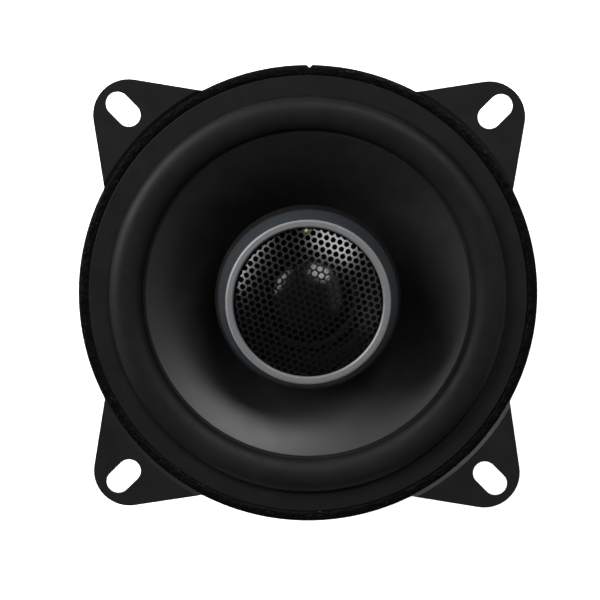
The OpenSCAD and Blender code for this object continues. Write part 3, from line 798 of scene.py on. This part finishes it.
def capacitor():
    """A sleeved can: crimped near its lower end, with a rolled rim round each end disc."""
    centre = (39.8, 13.2)
    r, low, high = 2.6, -25.0, -14.0
    outline = [(0.0, high - 0.25), (1.75, high - 0.25), (1.8, high - 0.1)]
    outline += arc((2.2, high - 0.35), 0.38, 100, 0, 6)
    outline += [(r, high - 0.8), (r, low + 2.4), (r - 0.3, low + 1.9), (r - 0.3, low + 1.6),
                (r, low + 1.1), (r, low + 0.5)]
    outline += arc((2.2, low + 0.4), 0.38, 0, -100, 6)
    outline += [(1.9, low + 0.15), (0.0, low + 0.15)]

    def which(a, b):
        if max(a[0], b[0]) > 1.81:
            return 0
        return 1 if a[1] > low + 2 else 2

    obj = lathe("sleeved_capacitor", outline, [sleeve_plastic(), capacitor_end(), bung_rubber()],
                COARSE, material_at=which)
    obj.data.transform(Matrix.Translation((centre[0] * MM, centre[1] * MM, 0)))
    to_terminal_side(obj)
    stands_for(obj, "frame", "crossover_capacitor", slot="capacitor_sleeve")
    bevelled("capacitor_adhesive", "melted_adhesive", hot_melt(), 0.4, "hot_melt", segments=4)


# The same routes as the CAD leads, in a frame whose X points at the terminals
CAPACITOR_TOP_LEAD = [
    (39.8, 13.2, -14.4), (39.9, 13.1, -13.2), (40.6, 12.4, -12.5), (42, 11, -12.2),
    (43, 9, -12.6), (43.5, 7.4, -13.4), (43.4, 6.2, -14.6), (43.25, 5.6, -15.8)
]
TINSEL_ROUTE = [
    (39.9, 4.5, -22), (38.6, 4.5, -21.8), (37.2, 4.5, -20.2), (36.4, 4.5, -17.4),
    (36.2, 4.5, -14), (35.6, 4.4, -10.4), (33.4, 4.2, -7.6), (29.6, 3.8, -7.2),
    (26, 3.4, -8.6), (23.6, 3.2, -9), (22.3, 3, -8), (22, 3, -6.6)
]
LEAD_IN_POD = [
    (13, 1.5, 5.8), (13.05, 1.5, 3.5), (13.05, 1.5, 1.2), (12.8, 1.45, -0.6), (11.7, 1.4, -1.6),
    (8, 1.2, -1.6), (4.5, 0.95, -1.6), (2.6, 0.85, -1.75), (1.1, 0.8, -2.9), (0.4, 0.8, -5)
]
LEAD_IN_POST = [
    (0.1, 0.8, -12), (0, 0.8, -24), (0, 0.8, -38), (0.15, 0.8, -40.8), (0.7, 0.8, -42.3),
    (2.2, 0.8, -43.25), (6, 0.85, -43.35), (16, 0.9, -43.35), (27, 0.9, -43.35)
]
RED_LEAD_OUTSIDE = [
    (31.5, 1, -43.3), (34, 1.5, -42.4), (35.9, 2.5, -40.4), (36.8, 4, -36.5), (37.6, 7, -32),
    (38.8, 10.6, -28.4), (39.6, 12.8, -26.6), (39.8, 13.2, -25.1)
]
BLACK_LEAD_OUTSIDE = [
    (31.5, 1, -43.3), (34, 1.4, -42.4), (35.9, 2.2, -40.4), (36.8, 3.6, -36.5), (37.4, 5.2, -31),
    (38.2, 6.6, -26.6), (39.2, 7.3, -24), (39.9, 7.4, -22.6)
]


def mirrored(points):
    """The same route on the other side of the terminal frame's X axis."""
    return [(x, -y, z) for x, y, z in points]


def leads():
    wire = Finish("tinned_wire", (0.6, 0.61, 0.62), 0.25, Metallic=1.0)
    wire.tint(wire.between(wire.noise(1, 3), 0.5, 0.7), (0.45, 0.46, 0.47))
    obj = tube("capacitor_top_wire", curve_through(CAPACITOR_TOP_LEAD, 8), 0.3, wire.material,
               across=(1, 0, 0))
    stands_for(to_terminal_side(obj), "frame", "capacitor_lead", slot="tinned_wire")
    red = LEAD_IN_POD + LEAD_IN_POST + RED_LEAD_OUTSIDE
    black = mirrored(LEAD_IN_POD + LEAD_IN_POST + BLACK_LEAD_OUTSIDE)
    red_obj = tube("red_tweeter_wire", curve_through(red, 8), 0.5,
                   insulation("red_insulation", (0.33, 0.012, 0.012)))
    stands_for(to_terminal_side(red_obj), "frame", "tweeter_lead_red", slot="red_insulation")
    black_obj = tube("black_tweeter_wire", curve_through(black, 8), 0.5,
                     insulation("black_insulation", (0.011, 0.011, 0.012)))
    stands_for(to_terminal_side(black_obj), "frame", "tweeter_lead_black", slot="black_insulation")


def tinsel_leads():
    """Braided leads: strands that cross as two opposite helices."""
    braid = tinsel_braid()
    cone_end_r, board_end_r = 22.6, 34.0
    lay_length = 0.9

    def strands(angle, distance):
        lay = distance / lay_length
        return 0.9 + 0.1 * max(math.cos(4 * angle + lay * 4), math.cos(4 * angle - lay * 4))

    for name, node, route in (("tinsel_braid_positive", "tinsel_lead_positive", TINSEL_ROUTE),
                              ("tinsel_braid_negative", "tinsel_lead_negative",
                               mirrored(TINSEL_ROUTE))):
        obj = to_terminal_side(tube(name, curve_through(route, 24), 0.6, braid, 24, strands))
        flexes(obj, "cone", cone_end_r, board_end_r, node, slot="tinsel_braid")


def solder_joints():
    """A smooth blob where each lead meets its metal."""
    joints = [
        ("solder_capacitor_lead", (43.1, 5.6, -15.8), (0.55, 1.0, 1.1)),
        ("solder_red_lead", (39.8, 13.2, -25.2), (0.7, 0.7, 0.6)),
        ("solder_tinsel_positive", (39.95, 4.7, -22), (0.6, 1.2, 1.2)),
        ("solder_tinsel_negative", (39.95, -4.7, -22), (0.6, 1.2, 1.2)),
        ("solder_black_lead", (40.0, -7.2, -22.4), (0.6, 1.1, 1.0))
    ]
    finish = solder()
    for name, place, size in joints:
        mesh = bpy.data.meshes.new(name)
        bm = bmesh.new()
        bmesh.ops.create_icosphere(bm, subdivisions=4, radius=1.0)
        for v in bm.verts:
            lump = 1 + 0.12 * noise.noise(v.co * 1.7 + Vector(place))
            v.co = Vector([lump * c * s for c, s in zip(v.co, size)]) + Vector(place)
            v.co *= MM
        bm.to_mesh(mesh)
        bm.free()
        mesh.materials.append(finish)
        soften(mesh)
        obj = to_terminal_side(new_object(name, mesh))
        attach(obj, "frame")


# ---------------------------------------------------------------- tweeter pod

POD_STEP_Z = bottom_of("bezel_ring")
POD_FRONT_Z = top_of("bezel_ring")
POD_FRONT_R = 18.2
POD_LIP_R = radius_of("pod_housing")
POD_BORE_R = 16.5
POD_RIM_Z = bottom_of("mesh_grille")
LEDGE_Z = 5.9


def pod_housing():
    outline = rounded([
        (17.5, POD_RIM_Z, 0.1), (17.5, POD_STEP_Z - 0.02, 0), (POD_LIP_R - 0.75, POD_STEP_Z - 0.02, 0.12),
        (POD_LIP_R, 6.3, 0.4), (POD_LIP_R, 5.2, 0.5), (15.2, -2.6, 1.6), (8.2, -4.0, 0.5),
        (2.2, -4.0, 0.1), (2.2, -3.0, 0), (2.8, -2.4, 0), (12.1, -2.4, 0.2), (12.1, LEDGE_Z, 0.15),
        (POD_BORE_R, LEDGE_Z, 0.15), (POD_BORE_R, POD_RIM_Z, 0.1)
    ], steps=6)
    obj = lathe("moulded_pod", outline, pod_plastic())
    stands_for(obj, "frame", "pod_housing", slot="pod_plastic")
    post = lathe("moulded_post", rounded([
        (4.6, -42.4, 0.3), (4.6, -22.0, 0), (7.5, -22.0, 0.2), (7.5, -4.6, 0), (7.9, -4.0, 0.1),
        (2.2, -4.0, 0), (2.2, -42.4, 0.2)
    ]), pod_plastic(), COARSE)
    stands_for(post, "frame", "tweeter_post", slot="post_plastic")


def bezel():
    flare_r = POD_LIP_R - 0.78
    outline = rounded([
        (17.52, POD_STEP_Z, 0.05), (flare_r, POD_STEP_Z, 0.25),
        ((flare_r + POD_FRONT_R) / 2 - 0.15, (POD_STEP_Z + POD_FRONT_Z) / 2, 6.0),
        (POD_FRONT_R, POD_FRONT_Z - 0.35, 0.12), (POD_FRONT_R - 0.35, POD_FRONT_Z, 0.12),
        (POD_BORE_R + 0.35, POD_FRONT_Z, 0.2), (POD_BORE_R, POD_FRONT_Z - 0.35, 0.2),
        (POD_BORE_R, POD_RIM_Z + 0.47, 0.05), (17.52, POD_RIM_Z + 0.47, 0.05)
    ], steps=8)

    # Flare faces get the darker material, which is painted shade and painted reflection; the flat front
    # gets the lighter one.
    def which(a, b):
        return 0 if min(a[1], b[1]) > POD_FRONT_Z - 0.5 else 1

    obj = lathe("bezel", outline, [bezel_face(), bezel_flare_painted_shade()], material_at=which)
    stands_for(obj, "frame", "bezel_ring", slot="bezel_paint")


def grille():
    """Perforated dome: a lattice of six-sided cells, each with a round hole, pressed into shape."""
    pitch, hole_r, thick = 1.556, 0.6, 0.25
    row_angle = math.radians(-3.4)
    curve_r, edge_r, flange_r = 37.0, 16.3, 17.4
    per_side = 3
    cell_r = pitch / math.sqrt(3)
    rows = int(flange_r / (pitch * math.sqrt(3) / 2)) + 2
    centre_z = POD_RIM_Z - math.sqrt(curve_r ** 2 - edge_r ** 2)
    corners = [Vector((math.cos(a), math.sin(a))) * cell_r
               for a in (math.radians(30 + 60 * k) for k in range(6))]
    rim = [corners[k].lerp(corners[(k + 1) % 6], s / per_side)
           for k in range(6) for s in range(per_side)]
    bm = bmesh.new()

    def place(p):
        """Where a point of the flat sheet goes: onto the dome, or the flange round it."""
        p = Matrix.Rotation(row_angle, 2) @ p
        r = p.length
        if r > flange_r:
            p = p * (flange_r / r)
            r = flange_r
        z = POD_RIM_Z
        if r < edge_r:
            z = centre_z + math.sqrt(curve_r ** 2 - r ** 2)
        return bm.verts.new((p.x * MM, p.y * MM, (z + thick) * MM))

    for row in range(-rows, rows + 1):
        for column in range(-rows, rows + 1):
            centre = Vector((pitch * (column + 0.5 * (row % 2)), pitch * math.sqrt(3) / 2 * row))
            if centre.length > flange_r + cell_r:
                continue
            outer = [place(centre + p) for p in rim]
            if centre.length > flange_r - hole_r:
                bm.faces.new(outer)
                continue
            inner = [place(centre + p.normalized() * hole_r) for p in rim]
            for k in range(len(rim)):
                n = (k + 1) % len(rim)
                bm.faces.new((outer[k], outer[n], inner[n], inner[k]))
    bmesh.ops.remove_doubles(bm, verts=bm.verts, dist=2e-6)
    bmesh.ops.dissolve_degenerate(bm, edges=bm.edges, dist=1e-6)
    mesh = bpy.data.meshes.new("perforated_grille")
    bm.to_mesh(mesh)
    bm.free()
    mesh.materials.append(mesh_paint())
    obj = new_object("perforated_grille", mesh)
    solid = obj.modifiers.new("thickness", "SOLIDIFY")
    solid.thickness = thick * MM
    solid.offset = -1
    apply_modifiers(obj)
    soften(obj.data, math.radians(40))
    stands_for(obj, "frame", "mesh_grille", slot="mesh_paint")


def apply_modifiers(obj):
    """Puts the mesh that the modifiers give in the place of the object's own."""
    bpy.context.view_layer.update()
    shaped = obj.evaluated_get(bpy.context.evaluated_depsgraph_get())
    mesh = bpy.data.meshes.new_from_object(shaped)
    obj.modifiers.clear()
    obj.data = mesh


def grille_dab():
    """A drop of cured resin at the top of the grille's edge."""
    at, out_r = math.radians(46.5), 15.75
    place = Vector((out_r * math.cos(at), out_r * math.sin(at), POD_RIM_Z + 0.75))
    mesh = bpy.data.meshes.new("grille_resin_dab")
    bm = bmesh.new()
    bmesh.ops.create_icosphere(bm, subdivisions=4, radius=0.52)
    for v in bm.verts:
        v.co *= 1 + 0.25 * noise.noise(v.co * 1.9)
        v.co = (v.co * 0.95 + place) * MM
    bm.to_mesh(mesh)
    bm.free()
    mesh.materials.append(grille_dab_resin())
    soften(mesh)
    obj = new_object("grille_resin_dab", mesh)
    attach(obj, "frame")


def tweeter():
    face_z = 6.7
    face = lathe("tweeter_surround_plate", rounded([
        (10.45, LEDGE_Z + 0.02), (16.4, LEDGE_Z + 0.02), (16.4, 10.4), (15.6, 10.4, 0.3),
        (14.2, 8.1, 2.5), (13.2, face_z + 0.5, 0.15), (13.2, face_z, 0), (10.45, face_z)
    ], 0.1), faceplate_plastic())
    stands_for(face, "frame", "tweeter_faceplate", slot="faceplate_plastic")

    dome_r, dome_h, base_z, dome_t = 9.8, 3.2, face_z + 0.2, 0.2
    curve_r = (dome_r ** 2 + dome_h ** 2) / (2 * dome_h)
    centre = (0, base_z + dome_h - curve_r)
    half_angle = math.degrees(math.asin(dome_r / curve_r))
    outline = arc(centre, curve_r, 90 - half_angle, 90, 36)
    outline += arc(centre, curve_r - dome_t, 90, 90 - half_angle, 24)
    dome = lathe("cloth_dome", outline, dome_cloth(), COARSE * 2)
    stands_for(dome, "tweeter_diaphragm", "tweeter_dome", slot="dome_cloth")

    film, roll_r = 0.15, 1.02
    roll_mid = (dome_r + 0.1 + roll_r, base_z)
    outline = arc(roll_mid, roll_r, 180, 10, 20)
    outline += [(13.1, base_z + film), (13.1, base_z), (roll_mid[0] + roll_r - film, base_z)]
    outline += arc(roll_mid, roll_r - film, 5, 175, 16)
    suspension = lathe("cloth_suspension", outline, film_cloth(), COARSE * 2)
    flexes(suspension, "tweeter_diaphragm", dome_r + 0.1, 12.0, "tweeter_suspension",
           slot="tweeter_film")


# ---------------------------------------------------------------- what stays as the CAD made it


def hidden_parts():
    """Inner pieces whose CAD shape is right: only their material changes."""
    steel = zinc("tweeter_steel", (0.5, 0.51, 0.52), 0.3, axis_turned=True)
    film = kraft_film()
    for node, material in {
        "neck_glue": amber(), "voice_coil_former": film, "tweeter_coil_former": film,
        "tweeter_coil": copper_winding(), "tweeter_yoke_cup": steel,
        "tweeter_top_plate": steel, "tweeter_magnet": zinc("nickel", (0.62, 0.6, 0.55), 0.15)
    }.items():
        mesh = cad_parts[node].data
        mesh.materials.clear()
        mesh.materials.append(material)


# ---------------------------------------------------------------- studio

PHOTO_TURN = Matrix.Rotation(math.radians(-45), 4, "Z")   # from the photograph's axes to the frame's
EAR_MID_Z = EAR_STEP + SHEET_T / 2


def camera():
    distance, tilt, roll = 620.0, math.radians(6.65), math.radians(-0.34)
    aim = Vector((1.8, 1.1, 0))
    turn = (Matrix.Rotation(roll, 4, "Z") @ Matrix.Rotation(tilt, 4, "X")).transposed()
    place = PHOTO_TURN @ turn @ (Vector((0, 0, distance)) - aim)
    data = bpy.data.cameras.new("camera")
    data.lens = 165.4
    data.sensor_width = 36
    data.clip_start = 0.01
    data.clip_end = 20
    obj = bpy.data.objects.new("camera", data)
    bpy.context.scene.collection.objects.link(obj)
    obj.matrix_world = (Matrix.Translation((place + Vector((0, 0, EAR_MID_Z))) * MM)
                        @ PHOTO_TURN @ turn)
    bpy.context.scene.camera = obj


def softbox(name, towards, distance, width, height, watts):
    """A rectangular light. towards is its direction in the photograph's axes: right, up, nearer."""
    data = bpy.data.lights.new(name, "AREA")
    data.shape = "RECTANGLE"
    data.size, data.size_y = width, height
    data.energy = watts
    obj = bpy.data.objects.new(name, data)
    bpy.context.scene.collection.objects.link(obj)
    away = (PHOTO_TURN @ Vector(towards)).normalized()
    obj.location = away * distance
    obj.rotation_mode = "QUATERNION"
    obj.rotation_quaternion = (-away).to_track_quat("-Z", "Y")


def studio():
    softbox("upper_left", (-0.76, 0.43, 0.50), 1.6, 1.2, 0.67, 51)
    softbox("upper_right", (0.31, 0.58, 0.75), 1.6, 0.8, 0.5, 20)
    softbox("right_fill", (0.85, 0.05, 0.6), 1.6, 1.6, 1.2, 4)
    world = bpy.data.worlds.new("studio")
    world.use_nodes = True
    world.node_tree.nodes["Background"].inputs["Color"].default_value = (1, 1, 1, 1)
    world.node_tree.nodes["Background"].inputs["Strength"].default_value = 0.07
    bpy.context.scene.world = world
    bpy.context.scene.view_settings.view_transform = "Standard"
    half = 12.0
    mesh = bpy.data.meshes.new("studio_floor")
    floor_z = cad_box[0].z
    mesh.from_pydata([(-half, -half, floor_z), (half, -half, floor_z), (half, half, floor_z),
                      (-half, half, floor_z)], [], [(0, 1, 2, 3)])
    mesh.materials.append(studio_floor())
    new_object("studio_floor", mesh)


basket()
rim_adhesive()
surround()
cone()
spider()
voice_coil()
motor()
terminals()
capacitor()
leads()
tinsel_leads()
solder_joints()
pod_housing()
bezel()
grille()
grille_dab()
tweeter()
hidden_parts()
camera()
studio()
